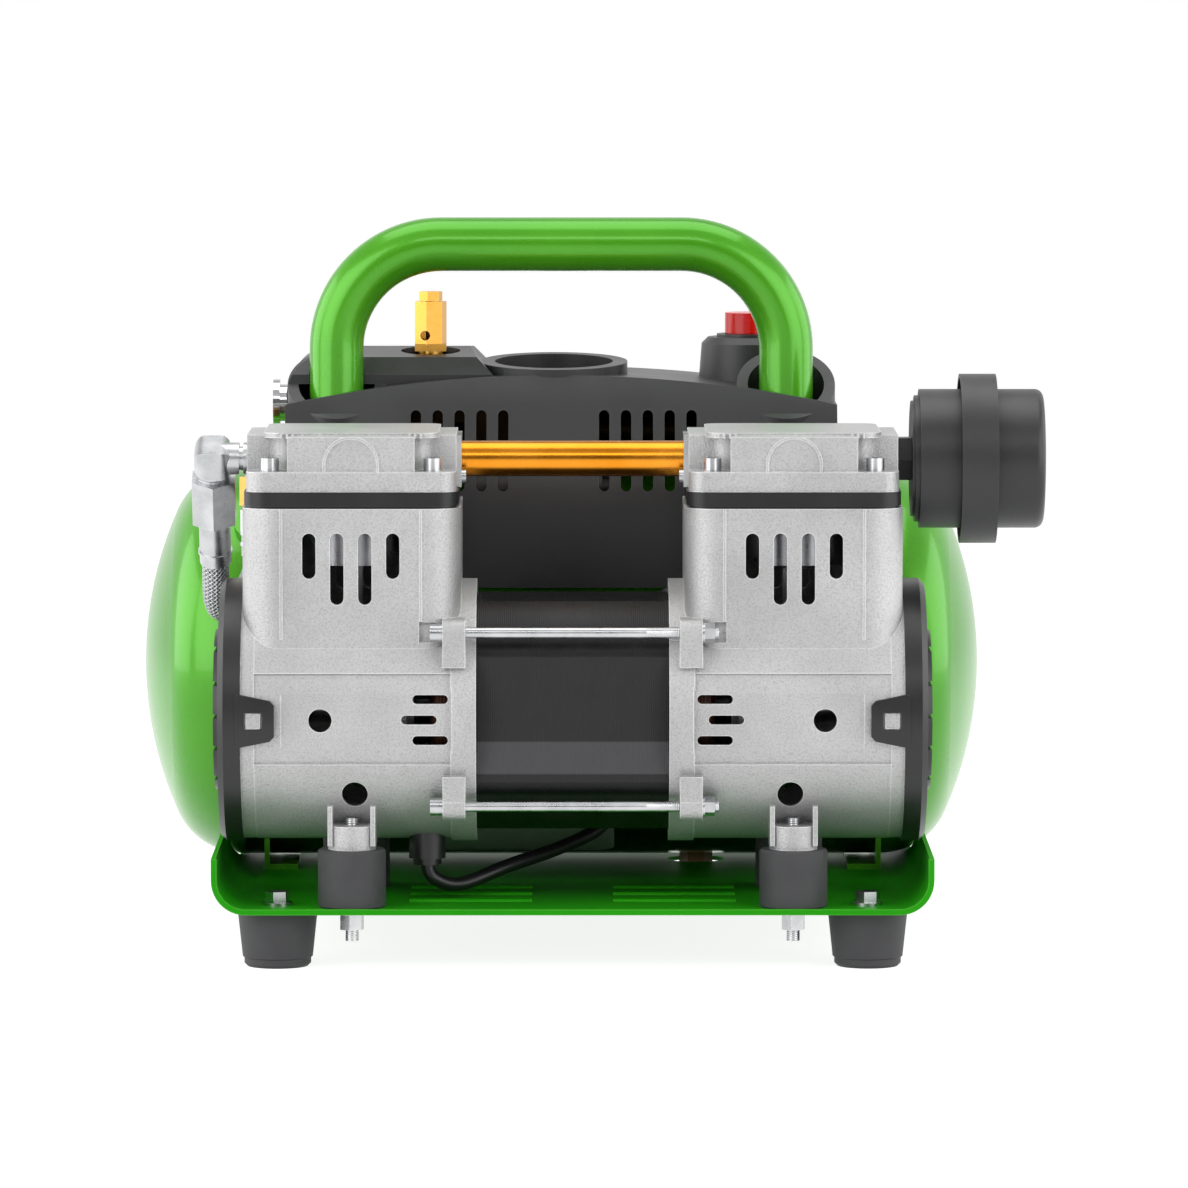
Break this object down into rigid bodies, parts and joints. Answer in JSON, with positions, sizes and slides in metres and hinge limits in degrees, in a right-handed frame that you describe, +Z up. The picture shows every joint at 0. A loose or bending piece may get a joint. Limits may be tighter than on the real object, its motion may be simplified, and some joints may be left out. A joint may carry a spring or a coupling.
{
  "type": "oil-free air compressor",
  "caption": "Oil-free piston air compressor: twin-cylinder pump on rubber buffers in a pressed tray, horizontal tank with carrying handle, plastic control housing and intake filter.",
  "frame": {"origin": "on the ground under the middle of the bounding box", "axes": "+X along the pump and the tank towards the intake filter, +Y from the pump to the tank, +Z up"},
  "size_m": [0.4268, 0.3154, 0.3427],
  "materials": {
    "green_paint": "glossy green powder coat",
    "buffer_rubber": "matte dark rubber",
    "zinc_steel": "zinc plated steel",
    "cast_aluminium": "blasted die casting",
    "liner": "hard anodised bore",
    "black_plate": "black anodised plate",
    "spring_steel": "ground steel",
    "laminations": "stacked steel sheets with black varnish",
    "copper": "varnished copper wire",
    "black_plastic": "moulded black plastic",
    "orange_anodised": "orange anodised tube",
    "grey_plastic": "moulded dark grey plastic",
    "filter_felt": "pleated felt",
    "steel_braid": "woven steel braid",
    "brass_parts": "machined brass",
    "lead_jacket": "black cable jacket",
    "red_button": "glossy red plastic",
    "chrome_fitting": "nickel plated steel",
    "dial_white": "plain white dial",
    "clear_lens": "clear window",
    "needle_black": "black needle",
    "crank_iron": "machined casting",
    "rod_aluminium": "die cast rod"
  },
  "bodies": {
    "frame": {"base_tray": "green_paint", "tank_saddles": "green_paint", "tank_shell": "green_paint", "rubber_feet": "buffer_rubber", "foot_bolts": "zinc_steel", "pump_buffers": "buffer_rubber", "buffer_fasteners": "zinc_steel", "crankcase_left": "cast_aluminium", "crankcase_right": "cast_aluminium", "cylinder_sleeves": "liner", "valve_plates": "black_plate", "reed_valves": "spring_steel", "head_left": "cast_aluminium", "head_right": "cast_aluminium", "head_screws": "zinc_steel", "stator_core": "laminations", "stator_windings": "copper", "tie_bolts": "zinc_steel", "fan_cover_left": "black_plastic", "fan_cover_right": "black_plastic", "main_bearings": "spring_steel", "transfer_tube": "orange_anodised", "tube_clamps": "zinc_steel", "filter_body": "grey_plastic", "filter_cap": "grey_plastic", "filter_element": "filter_felt", "outlet_elbow": "zinc_steel", "hose_fittings": "zinc_steel", "braided_hose": "steel_braid", "check_valve": "brass_parts", "motor_lead": "lead_jacket", "cable_glands": "black_plastic", "housing_front": "grey_plastic", "housing_rear": "grey_plastic", "housing_screws": "zinc_steel", "carry_handle": "green_paint", "safety_valve_body": "brass_parts", "air_manifold": "brass_parts", "pressure_switch": "black_plastic", "run_capacitor": "black_plastic", "quick_coupler": "chrome_fitting", "regulator_body": "brass_parts", "gauge_cases": "black_plastic", "gauge_dials": "dial_white", "gauge_lenses": "clear_lens", "drain_valve": "brass_parts"},
    "rotor": {"rotor_shaft": "spring_steel", "rotor_core": "laminations", "eccentrics": "crank_iron", "cooling_fans": "black_plastic"},
    "left_piston": {"piston_left": "rod_aluminium"},
    "right_piston": {"piston_right": "rod_aluminium"},
    "button": {"switch_button": "red_button"},
    "valve_stem": {"safety_valve_stem": "brass_parts"},
    "sleeve": {"coupler_sleeve": "chrome_fitting"},
    "pressure_knob": {"regulator_knob": "black_plastic"},
    "tank_needle": {"tank_gauge_needle": "needle_black"},
    "outlet_needle": {"outlet_gauge_needle": "needle_black"},
    "drain": {"drain_knob": "black_plastic"}
  },
  "joints": [
    {"name": "rotor_spin", "type": "hinge", "parent": "frame", "child": "rotor", "pos_m": [-0.006, -0.0953, 0.1162], "axis": [1, 0, 0], "continuous": true},
    {"name": "left_stroke", "type": "slide", "parent": "frame", "child": "left_piston", "axis": [0, 0, 1], "range_m": [-0.016, 0]},
    {"name": "right_stroke", "type": "slide", "parent": "frame", "child": "right_piston", "axis": [0, 0, 1], "range_m": [0, 0.016]},
    {"name": "button_push", "type": "slide", "parent": "frame", "child": "button", "axis": [0, 0, 1], "range_m": [-0.005, 0]},
    {"name": "valve_pull", "type": "slide", "parent": "frame", "child": "valve_stem", "axis": [0, 0, 1], "range_m": [0, 0.003], "stiffness_N_per_m": 1500, "springref_m": -0.0005},
    {"name": "sleeve_slide", "type": "slide", "parent": "frame", "child": "sleeve", "axis": [1, 0, 0], "range_m": [0, 0.0022], "stiffness_N_per_m": 1500, "springref_m": -0.0005},
    {"name": "pressure_turn", "type": "hinge", "parent": "frame", "child": "pressure_knob", "pos_m": [-0.0114, 0.1147, 0.24875], "axis": [0, 0.5299, 0.848], "range_deg": [-540, 540]},
    {"name": "tank_reading", "type": "hinge", "parent": "frame", "child": "tank_needle", "pos_m": [-0.0514, 0.1147, 0.24875], "axis": [0, 0.5299, 0.848], "range_deg": [-270, 0]},
    {"name": "outlet_reading", "type": "hinge", "parent": "frame", "child": "outlet_needle", "pos_m": [0.0286, 0.1147, 0.24875], "axis": [0, 0.5299, 0.848], "range_deg": [-270, 0]},
    {"name": "drain_turn", "type": "hinge", "parent": "frame", "child": "drain", "pos_m": [0.054, 0.0637, 0.014], "axis": [0, 0, 1], "range_deg": [-360, 0]}
  ]
}
